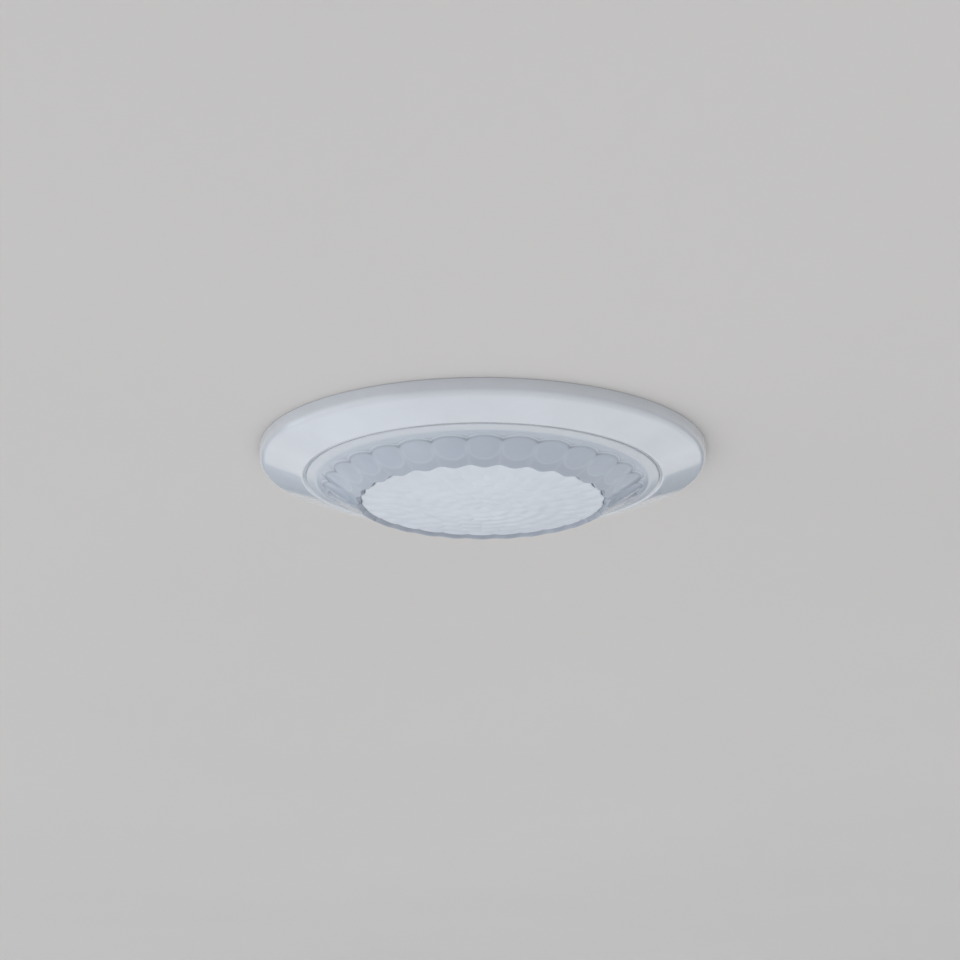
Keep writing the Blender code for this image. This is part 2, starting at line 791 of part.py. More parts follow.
def make_board_socket():
    low, high = 15.0, POWER_BOARD_LOW - GAP
    half_x = HEADER_PINS * HEADER_PITCH / 2
    black = plastic("socket_black", (0.03, 0.03, 0.035), 0.45)
    strip = block((-half_x, HEADER_Y - 1.3, low), (half_x, HEADER_Y + 1.3, high))
    socket = solid("board_socket", strip, black)
    half = 0.65
    holes = [
        block((x - half, HEADER_Y - half, low - 1), (x + half, HEADER_Y + half, high - 1))
        for x in header_positions()
    ]
    return cut(socket, *holes)


# Power board, and what hangs from it


def make_power_board():
    green = plastic("power_board_green", (0.03, 0.20, 0.09), 0.45)
    high = POWER_BOARD_LOW + BOARD
    board = solid("power_board", rod(SENSOR_BOARD_R, POWER_BOARD_LOW, high, steps=48), green)
    flats = pocket_blocks(POWER_BOARD_FLAT_X, BARREL_R, POWER_BOARD_LOW - 1, high + 1)
    holes = [rod(1.5, POWER_BOARD_LOW - 1, high + 1, centre, SMALL_STEPS) for centre in POWER_SCREWS]
    return cut(board, *flats, *holes)


def make_board_screw(name, centre):
    """A pan-head screw that goes up through the board into a post, with a cross slot."""
    head_low, head_high, tip = 22.4, POWER_BOARD_LOW - GAP, 28.5
    outline = [(0, head_low), (1.9, head_low), (2.3, head_low + 0.4), (2.3, head_high)]
    outline += [(1.0, head_high), (1.0, tip - 0.6), (0.5, tip), (0, tip)]
    zinc = metal("board_screw_zinc", (0.66, 0.67, 0.68), 0.3)
    screw = solid(name, lathe(outline, PART_STEPS, centre), zinc)
    return cut(screw, *cross_slot(centre, head_low - 1, head_low + 0.7))


def cross_slot(centre, low, high):
    x, y = centre
    return [
        block((x - 1.3, y - 0.25, low), (x + 1.3, y + 0.25, high)),
        block((x - 0.25, y - 1.3, low), (x + 0.25, y + 1.3, high)),
    ]


def hung_box(name, low_corner, size, material, corner=0.6):
    """A boxed component whose flat back meets the power board."""
    x, y, z = low_corner
    high_corner = (x + size[0], y + size[1], POWER_BOARD_LOW - GAP)
    return solid(name, block((x, y, z), high_corner, corner), material)


def make_relay():
    dark = plastic("relay_black", (0.04, 0.045, 0.05), 0.35)
    return hung_box("relay", (-20.0, 1.5, 8.7), (18, 15), dark)


def make_film_capacitor():
    yellow = plastic("film_capacitor_yellow", (0.75, 0.55, 0.10), 0.35)
    return hung_box("film_capacitor", (2.5, 6.0, 10.0), (17, 8), yellow)


def make_electrolytic_capacitor():
    """A sleeved can with a bead rolled in near the board."""
    low, high, radius = 7.2, POWER_BOARD_LOW - GAP, 5.2
    bead = high - 2.4
    outline = [(0, low), (radius - 0.6, low), (radius, low + 0.6), (radius, bead - 0.6)]
    outline += [(radius - 0.5, bead), (radius, bead + 0.6), (radius, high), (0, high)]
    blue = plastic("electrolytic_blue", (0.05, 0.08, 0.22), 0.3)
    return solid("electrolytic_capacitor", lathe(outline, 28, (13, -8)), blue)


def make_choke():
    """A coil wound between the two flanges of a drum."""
    low, high, radius, waist = 13.0, POWER_BOARD_LOW - GAP, 4.6, 4.0
    flange = 1.4
    outline = [(0, low), (radius, low), (radius, low + flange), (waist, low + flange)]
    outline += [(waist, high - flange), (radius, high - flange), (radius, high), (0, high)]
    copper = metal("choke_copper", (0.60, 0.30, 0.16), 0.4)
    return solid("choke", lathe(outline, 24, (-14, -8)), copper)


def make_varistor():
    """A dipped disc that stands on edge, with a foot against the board."""
    radius, edge, half = 5.0, 0.8, 2.0
    outline = [(0, -half), (radius - edge, -half), (radius, -half + edge)]
    outline += [(radius, half - edge), (radius - edge, half), (0, half)]
    red = plastic("varistor_red", (0.45, 0.10, 0.06), 0.35)
    centre_y, centre_z = -8.0, 17.4
    varistor = solid("varistor", moved(along_x(lathe(outline, 24)), 0, centre_y, centre_z), red)
    foot = block((-1.2, centre_y - 3, centre_z), (1.2, centre_y + 3, POWER_BOARD_LOW - GAP))
    return join(varistor, foot)


def make_fuse():
    low, high, radius = 15.7, POWER_BOARD_LOW - GAP, 4.2
    outline = [(0, low), (radius - 0.5, low), (radius, low + 0.5), (radius, high), (0, high)]
    brown = plastic("fuse_brown", (0.16, 0.07, 0.04), 0.35)
    return solid("fuse", lathe(outline, 24, (0, -20)), brown)


# Terminals and their cover


def pole_positions():
    first = -(POLES - 1) / 2 * POLE_PITCH
    return [first + index * POLE_PITCH for index in range(POLES)]


def make_terminal_block():
    """Four poles: a screw well in the top of each and a wire hole in its front."""
    white = plastic("terminal_white", (0.70, 0.71, 0.70), 0.45)
    body = block((-BLOCK_HALF_X, -BLOCK_HALF_Y, BLOCK_LOW), (BLOCK_HALF_X, BLOCK_HALF_Y, BLOCK_HIGH), 0.5)
    terminals = solid("terminal_block", body, white)
    wire_z = 31.9
    holes = []
    for x in pole_positions():
        holes.append(rod(1.9, BLOCK_HIGH - 4.0, BLOCK_HIGH + 1, (x, 0), SMALL_STEPS))
        wire = along_y(rod(1.0, 0, BLOCK_HALF_Y + 1, steps=SMALL_STEPS))
        holes.append(moved(wire, x, 0, wire_z))
    return cut(terminals, *holes)


def make_terminal_screw(name, x):
    low, high, radius = BLOCK_HIGH - 3.7, BLOCK_HIGH - 1.4, 1.6
    outline = [(0, low), (radius, low), (radius, high - 0.3), (radius - 0.3, high), (0, high)]
    zinc = metal("terminal_screw_zinc", (0.66, 0.67, 0.66), 0.35)
    screw = solid(name, lathe(outline, 16, (x, 0)), zinc)
    return cut(screw, block((x - 2, -0.3, high - 0.8), (x + 2, 0.3, high + 1)))


def make_terminal_cover():
    """A box open below, with a cable entry in front and two knuckles on its hinge."""
    half_x, wall = COVER_HALF_X, COVER_WALL
    outside = chamfered_block(
        (-half_x, COVER_FRONT_Y, COVER_LOW), (half_x, COVER_BACK_Y, COVER_HIGH), 3.0, COVER_CHAMFER
    )
    grey = plastic("cover_grey", (0.70, 0.71, 0.71), 0.5)
    cover = solid("terminal_cover", outside, grey)
    inside = block(
        (-half_x + wall, COVER_FRONT_Y + wall, COVER_LOW - 1),
        (half_x - wall, COVER_BACK_Y - wall, COVER_HIGH - wall),
        1.6,
    )
    entry = moved(along_y(rod(CABLE_R, -3, 3)), 0, COVER_FRONT_Y, 36)
    label_recess = block((-13, -8, COVER_HIGH - 0.3), (13, 6, COVER_HIGH + 1), 1.0)
    cut(cover, inside, entry, label_recess)
    additions = [cover_knuckle(x) for x in (HINGE_KNUCKLE_X, -HINGE_KNUCKLE_X)]
    for ridge in range(GRIP_RIDGES):
        low = COVER_HIGH - 3.2 - ridge * GRIP_PITCH
        for x in (-12, 12):
            grip = block((x - 4, COVER_FRONT_Y - 0.4, low), (x + 4, COVER_FRONT_Y + 0.5, low + 0.6))
            additions.append(grip)
    join(cover, *additions)
    pin_hole = moved(along_x(rod(HINGE_PIN_R + GAP, -22, 22, steps=SMALL_STEPS)), 0, HINGE_Y, HINGE_Z)
    cut(cover, pin_hole)
    return put_origin(cover, 0, HINGE_Y, HINGE_Z)


def cover_knuckle(x):
    """An eye round the hinge pin, joined to the cover's back wall."""
    width = 2.6
    wall_y = COVER_BACK_Y - COVER_WALL / 2
    outline = [(wall_y, -HINGE_EYE_R * 0.6), (HINGE_Y, -HINGE_EYE_R)]
    outline += [(HINGE_Y + y, z) for y, z in arc((0, 0), HINGE_EYE_R, -60, 90, 5)]
    outline += [(wall_y, HINGE_EYE_R)]
    bm = prism(outline, -width / 2, width / 2)
    bm.transform(Matrix(((0, 0, 1, x), (1, 0, 0, 0), (0, 1, 0, HINGE_Z), (0, 0, 0, 1))))
    return bm


def make_cover_hinge_pin():
    half = HINGE_EAR_X + 1.6
    steel = metal("hinge_pin_steel", (0.7, 0.7, 0.72), 0.25)
    pin = along_x(rod(HINGE_PIN_R, -half, half, steps=SMALL_STEPS))
    return solid("cover_hinge_pin", moved(pin, 0, HINGE_Y, HINGE_Z), steel)


def make_everything():
    make_trim_ring()
    make_fresnel_lens()
    make_chassis()
    make_rear_housing()
    for hand, side in (("right", 1), ("left", -1)):
        make_spring_arm(f"spring_arm_{hand}", side)
        make_arm_pin(f"arm_pin_{hand}", side)
        make_torsion_spring(f"torsion_spring_{hand}", side)
    make_baffle_plate()
    make_sensor_board()
    make_pir_sensor_can()
    make_pir_sensor_window()
    make_light_sensor()
    make_light_guide()
    make_status_light()
    for name in ("time", "brightness", "range"):
        make_dial(name)
        make_potentiometer(name)
    make_test_button()
    make_test_switch()
    make_board_header()
    make_board_socket()
    make_power_board()
    for number, centre in enumerate(POWER_SCREWS, 1):
        make_board_screw(f"board_screw_{number}", centre)
    make_relay()
    make_film_capacitor()
    make_electrolytic_capacitor()
    make_choke()
    make_varistor()
    make_fuse()
    make_terminal_block()
    for number, x in enumerate(pole_positions(), 1):
        make_terminal_screw(f"terminal_screw_{number}", x)
    make_terminal_cover()
    make_cover_hinge_pin()


def finish_in_metres():
    """Turn millimetres into metres, and shade the round faces smooth."""
    for made in bpy.context.scene.objects:
        made.data.transform(Matrix.Scale(MM, 4))
        made.location *= MM
        made.data.shade_smooth()
        made.data.set_sharp_from_angle(angle=math.radians(SHARP_DEGREES))


clear_scene()
make_everything()
finish_in_metres()
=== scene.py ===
"""The looks of a flush ceiling motion sensor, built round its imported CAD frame.

The frame's origin is the middle of the ceiling cut-out and +Z points up into the ceiling, so the
bezel and lens hang below zero. Sizes here are in millimetres until a mesh is made.
"""

import math

import bpy
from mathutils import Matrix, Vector


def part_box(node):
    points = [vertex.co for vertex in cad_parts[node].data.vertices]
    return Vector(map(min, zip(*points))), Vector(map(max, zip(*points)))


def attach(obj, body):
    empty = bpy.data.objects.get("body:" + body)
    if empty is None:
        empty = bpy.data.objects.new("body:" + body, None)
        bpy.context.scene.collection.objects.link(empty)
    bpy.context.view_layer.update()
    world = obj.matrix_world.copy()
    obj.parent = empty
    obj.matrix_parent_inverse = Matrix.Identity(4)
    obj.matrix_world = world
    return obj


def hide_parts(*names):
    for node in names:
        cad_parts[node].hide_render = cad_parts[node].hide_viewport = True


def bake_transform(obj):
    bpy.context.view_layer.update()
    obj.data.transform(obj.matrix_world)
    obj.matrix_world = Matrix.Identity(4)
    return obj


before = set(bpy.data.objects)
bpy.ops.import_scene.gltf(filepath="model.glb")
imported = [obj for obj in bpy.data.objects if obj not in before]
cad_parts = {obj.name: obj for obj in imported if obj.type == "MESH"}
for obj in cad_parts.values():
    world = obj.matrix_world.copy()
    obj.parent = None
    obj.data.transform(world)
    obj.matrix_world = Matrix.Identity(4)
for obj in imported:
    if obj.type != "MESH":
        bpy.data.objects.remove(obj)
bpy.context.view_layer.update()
MM = 0.001

# Bezel and lens, as radius and height
BEZEL_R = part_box("trim_ring")[1].x / MM
BEZEL_SIDE_ROUND = 2.0
BEZEL_SIDE_Z = -1.9
BEZEL_FACE_SLOPE = 18.35
BEZEL_WALL = 1.5
BEZEL_BACK_R = 47.9
BEZEL_BACK_Z = -1.9
BEZEL_HOLLOW_Z = -4.6
FOOT_Z = (-0.15, -1.2)
BORE_R = 39.9
SEAL_R = 39.5
SEAL_BACK_Z = -5.35
SEAL_Z = -6.42
LIP_ROUND = 0.5
LIP_Z = -6.0
RIM_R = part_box("fresnel_lens")[1].x / MM
RIM_Z = -6.6
RIM_BACK_Z = -5.3
RIM_ROUND = 0.3
CHANNEL_R = 37.0
SKIRT_R = 37.5
SKIRT_INNER_R = 36.1
SKIRT_BACK_Z = -1.6
CUSP_R = 34.8
CUSP_Z = -7.9
ARCH_TOP_R = 36.2
BEAD_R = 28.1
BEAD_WAVE = 0.33
BEAD_Z = -12.25
DISC_R = 27.0
DISC_WAVE = 0.2
DISC_EDGE_Z = -11.4
CROWN_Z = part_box("fresnel_lens")[0].z / MM
LENSLETS = 28
LENSLET_PHASE = 0.76
COLUMNS_PER_LENSLET = 20
RIM_SLOPE = (RIM_Z - CUSP_Z) / (RIM_R - CUSP_R)
ARCH_TOP_Z = CUSP_Z + (ARCH_TOP_R - CUSP_R) * RIM_SLOPE
KEY_RADII = (36.9, 38.6)
KEY_HALF_WIDTH = 1.5
KEY_HEIGHTS = (-4.5, -1.9)

# One lenslet: its arch, its slanted wall and the raised circle on it
ARCH_CURVE_R = 5.1
CUSP_SIDE = math.pi * CUSP_R / LENSLETS
ARCH_DROP = ARCH_CURVE_R - math.sqrt(ARCH_CURVE_R**2 - CUSP_SIDE**2)
SLANT = math.hypot(ARCH_TOP_R - BEAD_R, ARCH_TOP_Z - BEAD_Z)
SLANT_COS = (ARCH_TOP_R - BEAD_R) / SLANT
WALL_RISE = (ARCH_TOP_Z - BEAD_Z) / (ARCH_TOP_R - BEAD_R)
VALLEY_DEPTH = CUSP_Z - BEAD_Z - (CUSP_R - BEAD_R) * WALL_RISE
CIRCLE_R = 3.35
CIRCLE_MIDDLE = 3.85
RIDGE_HEIGHT = 0.03
RIDGE_WIDTH = 0.2
BOWL_DEPTH = 0.06
LIP_HEIGHT = 0.07
LENSLET_ROWS = 54
RIM_ROWS = 16

# Painted highlights (the lines) and painted shade (the shades) on the cap's skin, as strength and width
CIRCLE_HIGHLIGHT = (0.26, 0.22)
ARCH_HIGHLIGHT = (0.75, 0.18)
VALLEY_HIGHLIGHT = (0.2, 0.12)
ARCH_SHADE = (0.55, 0.26)
CUSP_SHADE = (0.9, 0.16)
CIRCLE_SHADE = 0.2
BEAD_SHADE = 0.45
CHANNEL_SHADE = (0.3, 0.35)

# The disc. Each ring of ripples: radius, width, how many go round, phase, height and crown
DISC_ROWS = 84
DISC_BACK_Z = DISC_EDGE_Z + 0.9
DISC_ROUND = 0.12
RIPPLE_RINGS = (
    (26.6, 4.2, LENSLETS, 0.5, 0.30, 1.0),
    (20.6, 2.0, LENSLETS, 0.0, 0.27, 0.8),
    (16.4, 1.7, 21, 0.5, 0.32, 0.6),
    (12.4, 1.6, 14, 0.0, 0.34, 0.5),
    (8.9, 1.4, 14, 0.5, 0.31, 0.6),
    (5.6, 1.3, 7, 0.0, 0.26, 0.6),
)
DIMPLE = (0.48, 1.0)
DIMPLE_RING = (0.06, 2.0, 0.6)

# Torsion springs
ARM_PIN = (31.3, 17.0)
SPRING_COIL_R = 1.7
SPRING_WIRE_R = 0.3
SPRING_TURNS = 5
SPRING_HALF_Y = 3.4
SPRING_LEG = 11
WALL_LEG_STEPS = 8
WALL_LEG_STEP = 0.7
TURN_STEPS = 32
ARM_REST_DEGREES = -37

# The edges of the parts that stay as the frame has them
EDGE_BEVEL = 0.12
SHARP_DEGREES = 32
WELD_DISTANCE = 0.002

# The room, in millimetres. The ceiling's hole is a little smaller than the bezel.
CEILING_Z = 0.03
CEILING_HOLE_R = 49.3
CEILING_R = 6500
FLOOR_Z = -1200.0
FLOOR_R = 7000
WALL_R = 3000
WALL_LOW_Z = -726
WORLD_COLOUR = (0.86, 0.90, 0.95, 1)
WORLD_STRENGTH = 0.70

# The camera, in metres and in shares of the picture's width
CAMERA_PLACE = (0, -0.5556, -0.1800)
CAMERA_LENS = 97.5
CAMERA_SENSOR = 36
CAMERA_SHIFT = (-0.0028, -0.0291)


# Meshes


def on_circle(radius, degrees, centre=(0, 0)):
    angle = math.radians(degrees)
    return centre[0] + radius * math.cos(angle), centre[1] + radius * math.sin(angle)


def arc(centre, radius, start, end, steps):
    return [on_circle(radius, start + (end - start) * i / steps, centre) for i in range(steps + 1)]


def smooth_step(low, high, value):
    """0 at the low value and 1 at the high one, with a smooth start and end."""
    share = min(max((value - low) / (high - low), 0.0), 1.0)
    return share * share * (3 - 2 * share)


def new_object(name, vertices, faces, material):
    mesh = bpy.data.meshes.new(name)
    mesh.from_pydata([(x * MM, y * MM, z * MM) for x, y, z in vertices], [], faces)
    mesh.polygons.foreach_set("use_smooth", [True] * len(mesh.polygons))
    mesh.materials.append(material)
    mesh.update()
    made = bpy.data.objects.new(name, mesh)
    bpy.context.scene.collection.objects.link(made)
    return made


def turned(name, section_at, columns, material):
    """Sections of (radius, height) points joined round the vertical axis into a closed skin.

    section_at(degrees) gives the closed section at that angle. A point at radius 0 is a pole.
    """
    vertices = []
    poles = {}
    grid = []
    for column in range(columns):
        degrees = 360 * column / columns
        line = []
        for row, (radius, height) in enumerate(section_at(degrees)):
            if radius > 0:
                line.append(len(vertices))
                vertices.append((*on_circle(radius, degrees), height))
                continue
            if row not in poles:
                poles[row] = len(vertices)
                vertices.append((0, 0, height))
            line.append(poles[row])
        grid.append(line)
    faces = []
    for column, line in enumerate(grid):
        following = grid[(column + 1) % columns]
        for row in range(len(line)):
            below = (row + 1) % len(line)
            corners = [line[row], line[below], following[below], following[row]]
            face = list(dict.fromkeys(corners))
            if len(face) > 2:
                faces.append(face)
    return new_object(name, vertices, faces, material)


# Materials


class Look:
    """A node material. Its methods add nodes and return the socket that carries the result."""

    def __init__(self, name, colour, roughness, metallic=0.0):
        self.material = bpy.data.materials.new(name)
        self.material.use_nodes = True
        self.nodes = self.material.node_tree.nodes
        self.links = self.material.node_tree.links
        self.shader = self.nodes["Principled BSDF"]
        self.place = self.nodes.new("ShaderNodeTexCoord").outputs["Object"]
        self.set("Base Color", (*colour, 1.0))
        self.set("Roughness", roughness)
        self.set("Metallic", metallic)

    def set(self, socket, value):
        self.shader.inputs[socket].default_value = value

    def join(self, output, target):
        self.links.new(output, target)

    def stretched(self, scale):
        mapping = self.nodes.new("ShaderNodeMapping")
        mapping.inputs["Scale"].default_value = scale
        self.join(self.place, mapping.inputs["Vector"])
        return mapping.outputs["Vector"]

    def noise(self, scale, detail=2.0, place=None):
        node = self.nodes.new("ShaderNodeTexNoise")
        node.inputs["Scale"].default_value = scale
        node.inputs["Detail"].default_value = detail
        self.join(place or self.place, node.inputs["Vector"])
        return node.outputs["Fac"]

    def cells(self, scale):
        node = self.nodes.new("ShaderNodeTexVoronoi")
        node.inputs["Scale"].default_value = scale
        self.join(self.place, node.inputs["Vector"])
        return node.outputs["Distance"]

    def waves(self, scale, distortion):
        """Level bands, one above the other."""
        node = self.nodes.new("ShaderNodeTexWave")
        node.bands_direction = "Z"
        node.inputs["Scale"].default_value = scale
        node.inputs["Distortion"].default_value = distortion
        self.join(self.place, node.inputs["Vector"])
        return node.outputs["Fac"]

    def attribute(self, name):
        node = self.nodes.new("ShaderNodeAttribute")
        node.attribute_name = name
        return node.outputs["Fac"]

    def remap(self, value, low, high, to_low, to_high):
        node = self.nodes.new("ShaderNodeMapRange")
        for socket, number in (
            ("From Min", low),
            ("From Max", high),
            ("To Min", to_low),
            ("To Max", to_high),
        ):
            node.inputs[socket].default_value = number
        self.join(value, node.inputs["Value"])
        return node.outputs["Result"]

    def combine(self, first, second, operation="ADD"):
        node = self.nodes.new("ShaderNodeMath")
        node.operation = operation
        for socket, value in zip(node.inputs, (first, second)):
            if isinstance(value, (int, float)):
                socket.default_value = value
            else:
                self.join(value, socket)
        return node.outputs["Value"]

    def mix(self, factor, first, second):
        node = self.nodes.new("ShaderNodeMix")
        node.data_type = "RGBA"
        self.join(factor, node.inputs["Factor"])
        for socket, value in ((node.inputs[6], first), (node.inputs[7], second)):
            if isinstance(value, tuple):
                socket.default_value = (*value, 1.0)
            else:
                self.join(value, socket)
        return node.outputs[2]

    def colour(self, output):
        self.join(output, self.shader.inputs["Base Color"])

    def roughness(self, output):
        self.join(output, self.shader.inputs["Roughness"])

    def bump(self, height, distance, strength=1.0):
        node = self.nodes.new("ShaderNodeBump")
        node.inputs["Distance"].default_value = distance
        node.inputs["Strength"].default_value = strength
        self.join(height, node.inputs["Height"])
        self.join(node.outputs["Normal"], self.shader.inputs["Normal"])


def shaded(colour, share):
    return tuple(channel * share for channel in colour)


def moulded(name, colour, roughness=0.4, grain=0.012, coat=0.0):
    """Injection-moulded plastic: a faint flow mottle, a fine spark-eroded grain and soft scuffs."""
    look = Look(name, colour, roughness)
    mottle = look.noise(90, 3)
    flow = look.noise(28, 2, look.stretched((1, 1, 0.35)))
    both = look.combine(mottle, flow)
    look.colour(look.mix(look.remap(both, 0.7, 1.3, 0, 1), shaded(colour, 0.95), shaded(colour, 1.02)))
    scuffs = look.noise(240, 4, look.stretched((1, 0.25, 1)))
    look.roughness(look.remap(scuffs, 0.3, 0.7, roughness * 0.86, roughness * 1.18))
    fine = look.noise(5200, 2)
    soft = look.noise(320, 2)
    look.bump(look.combine(fine, look.combine(soft, 1.6, "MULTIPLY")), grain * MM)
    look.set("Coat Weight", coat)
    look.set("Coat Roughness", 0.07)
    return look.material


def rolled_metal(name, colour, roughness=0.3, along=(1, 1, 1), streak=900):
    """Rolled or drawn metal: fine lines along its length, duller patches and small pits."""
    look = Look(name, colour, roughness, 1.0)
    lines = look.noise(streak, 3, look.stretched(along))
    patches = look.noise(160, 3)
    tone = look.combine(lines, patches)
    look.colour(look.mix(look.remap(tone, 0.7, 1.35, 0, 1), shaded(colour, 0.74), shaded(colour, 1.08)))
    look.roughness(look.remap(tone, 0.7, 1.3, roughness * 0.7, roughness * 1.5))
    pits = look.noise(1500, 2)
    look.bump(look.combine(lines, pits), 0.01 * MM)
    return look.material


def solder_mask(name, colour):
    """A circuit board: green lacquer over raised copper tracks, with tinned pads."""
    look = Look(name, colour, 0.35)
    tracks = look.nodes.new("ShaderNodeTexBrick")
    tracks.offset = 0.37
    tracks.squash = 1.7
    tracks.squash_frequency = 3
    for socket, value in (
        ("Scale", 210.0),
        ("Mortar Size", 0.06),
        ("Mortar Smooth", 0.2),
        ("Brick Width", 1.3),
        ("Row Height", 0.42),
    ):
        tracks.inputs[socket].default_value = value
    look.join(look.place, tracks.inputs["Vector"])
    track = tracks.outputs["Fac"]
    pads = look.remap(look.cells(260), 0.16, 0.12, 0, 1)
    weave = look.noise(1400, 2)
    lacquer = look.mix(look.remap(weave, 0.35, 0.65, 0, 1), shaded(colour, 0.8), shaded(colour, 1.15))
    covered = look.mix(track, lacquer, shaded(colour, 1.9))
    look.colour(look.mix(pads, covered, (0.62, 0.60, 0.55)))
    look.join(pads, look.shader.inputs["Metallic"])
    look.roughness(look.remap(weave, 0.3, 0.7, 0.25, 0.42))
    look.bump(look.combine(track, pads), 0.035 * MM)
    return look.material


def wound_copper(name, colour):
    """Enamelled wire wound in turns round a vertical drum, with painted shade in the grooves between the
    turns and lighter crests.
    """
    look = Look(name, colour, 0.28, 0.85)
    turns = look.waves(620, 0.6)
    tone = look.noise(420, 2)
    look.colour(look.mix(turns, shaded(colour, 0.35), shaded(colour, 1.15)))
    look.roughness(look.remap(tone, 0.3, 0.7, 0.2, 0.4))
    look.bump(turns, 0.25 * MM)
    return look.material


def dipped(name, colour):
    """Epoxy-dipped or sleeved component: a glossy, slightly uneven skin."""
    look = Look(name, colour, 0.25)
    uneven = look.noise(210, 3)
    specks = look.noise(1900, 2)
    look.colour(look.mix(look.remap(uneven, 0.3, 0.7, 0, 1), shaded(colour, 0.82), shaded(colour, 1.12)))
    look.roughness(look.remap(specks, 0.3, 0.7, 0.18, 0.34))
    look.bump(uneven, 0.12 * MM)
    look.set("Coat Weight", 0.4)
    return look.material


def clear_acrylic(name):
    """A light guide: clear, with a faint frosting at its moulded skin."""
    look = Look(name, (0.93, 0.96, 0.98), 0.08)
    frost = look.noise(1500, 2)
    look.colour(look.mix(look.remap(frost, 0.35, 0.65, 0, 1), (0.84, 0.88, 0.92), (0.95, 0.97, 0.99)))
    look.roughness(look.remap(frost, 0.3, 0.7, 0.05, 0.16))
    look.bump(frost, 0.01 * MM)
    look.set("Transmission Weight", 0.7)
    look.set("IOR", 1.49)
    return look.material


def silicon(name):
    """A dark polished infrared filter with an uneven interference tint."""
    look = Look(name, (0.06, 0.06, 0.08), 0.1, 0.35)
    tint = look.noise(380, 2)
    look.colour(look.mix(look.remap(tint, 0.3, 0.7, 0, 1), (0.04, 0.04, 0.07), (0.12, 0.08, 0.13)))
    look.roughness(look.remap(tint, 0.3, 0.7, 0.06, 0.16))
    look.set("Coat Weight", 1.0)
    return look.material


# The bezel


def bezel_section():
    """The ring's closed section: side wall, sloping face, rounded lip, seal and hollow back."""
    face_normal = BEZEL_FACE_SLOPE - 90
    side_centre = (BEZEL_R - BEZEL_SIDE_ROUND, BEZEL_SIDE_Z)
    lip_centre = (BORE_R + LIP_ROUND, LIP_Z)
    start = on_circle(BEZEL_SIDE_ROUND, face_normal, side_centre)
    end = on_circle(LIP_ROUND, face_normal, lip_centre)
    face_steps = 12
    face = []
    for step in range(1, face_steps):
        share = step / face_steps
        face.append((start[0] + (end[0] - start[0]) * share, start[1] + (end[1] - start[1]) * share))
    section = [(BEZEL_R, 0), (BEZEL_R, FOOT_Z[0]), (BEZEL_R, FOOT_Z[1])]
    section += arc(side_centre, BEZEL_SIDE_ROUND, 0, face_normal, 12)
    section += face
    section += arc(lip_centre, LIP_ROUND, face_normal, -180, 12)
    section += [(BORE_R, SEAL_Z - 0.05), (BORE_R - 0.03, SEAL_Z - 0.02), (SEAL_R, SEAL_Z)]
    section += [(SEAL_R, SEAL_BACK_Z - 0.05), (BORE_R, SEAL_BACK_Z)]
    hollow_r = BORE_R + BEZEL_WALL
    below_back = BEZEL_BACK_Z - 0.05
    section += [(BORE_R, below_back), (BORE_R + 0.05, BEZEL_BACK_Z), (hollow_r - 0.05, BEZEL_BACK_Z)]
    section += [(hollow_r, below_back), (hollow_r, BEZEL_HOLLOW_Z), (BEZEL_BACK_R - 0.05, below_back)]
    section += [(BEZEL_BACK_R, BEZEL_BACK_Z), (BEZEL_BACK_R, 0)]
    return section


def make_bezel():
    white = moulded("bezel_white", (0.775, 0.815, 0.86), 0.16, 0.004, 1.0)
    section = bezel_section()
    bezel = turned("bezel", lambda degrees: section, 288, white)
    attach(bezel, "trim_ring")
    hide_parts("trim_ring")


# The lens cap


def lenslet_swing(degrees):
    """How far this angle is from the middle of its lenslet: 0 in the middle, 1 at a valley."""
    turn = (degrees + 90 - LENSLET_PHASE) * LENSLETS / 360
    return abs(turn - round(turn)) * 2


def lenslet_side(radius, swing):
    """The distance in millimetres from the lenslet's middle line."""
    return swing * math.pi * radius / LENSLETS


def arch_share(swing):
    """0 at the top of the arch, 1 at the cusp between two arches."""
    side = swing * CUSP_SIDE
    return (ARCH_CURVE_R - math.sqrt(ARCH_CURVE_R**2 - side**2)) / ARCH_DROP


def bell(distance, width):
    return math.exp(-((distance / width) ** 2))


def lenslet_height(radius, swing):
    """The wall of lenslets: a straight slope, crowned across each lenslet, with a raised circle."""
    middle = BEAD_Z + (radius - BEAD_R) * WALL_RISE
    up = min(max((radius - BEAD_R) / (CUSP_R - BEAD_R), 0), 1)
    valley = VALLEY_DEPTH * arch_share(swing) * (0.03 + 0.97 * up**4)
    valley *= smooth_step(0, 0.08, up)
    side = lenslet_side(radius, swing)
    down = (ARCH_TOP_R - radius) / SLANT_COS
    from_circle = math.hypot(side, down - CIRCLE_MIDDLE) - CIRCLE_R
    ridge = RIDGE_HEIGHT * bell(from_circle, RIDGE_WIDTH)
    bowl = BOWL_DEPTH * smooth_step(0.0, -2.2, from_circle)
    return middle + valley - ridge - bowl


def disc_edge_r(swing):
    return DISC_R - DISC_WAVE * math.cos(math.pi * swing)


def bead_r(swing):
    return BEAD_R - BEAD_WAVE * math.cos(math.pi * swing)


def dome_height(radius):
    return CROWN_Z + (DISC_EDGE_Z - CROWN_Z) * (radius / DISC_R) ** 2


def ripple_height(radius, degrees):
    """Rings of shallow crowned petals, which run into each other like fish scales."""
    turn = (degrees + 90 - LENSLET_PHASE) / 360
    height = 0.0
    for middle, width, count, phase, tall, crown in RIPPLE_RINGS:
        swing = abs(((turn * count + phase) % 1) - 0.5) * 2
        height += tall * bell(radius - middle, width) * (1 - crown * swing**2)
    return -height


def disc_height(radius, degrees):
    dimple = DIMPLE[0] * bell(radius, DIMPLE[1])
    ring_height, ring_r, ring_width = DIMPLE_RING
    ring = ring_height * bell(radius - ring_r, ring_width)
    return dome_height(radius) + ripple_height(radius, degrees) + dimple - ring


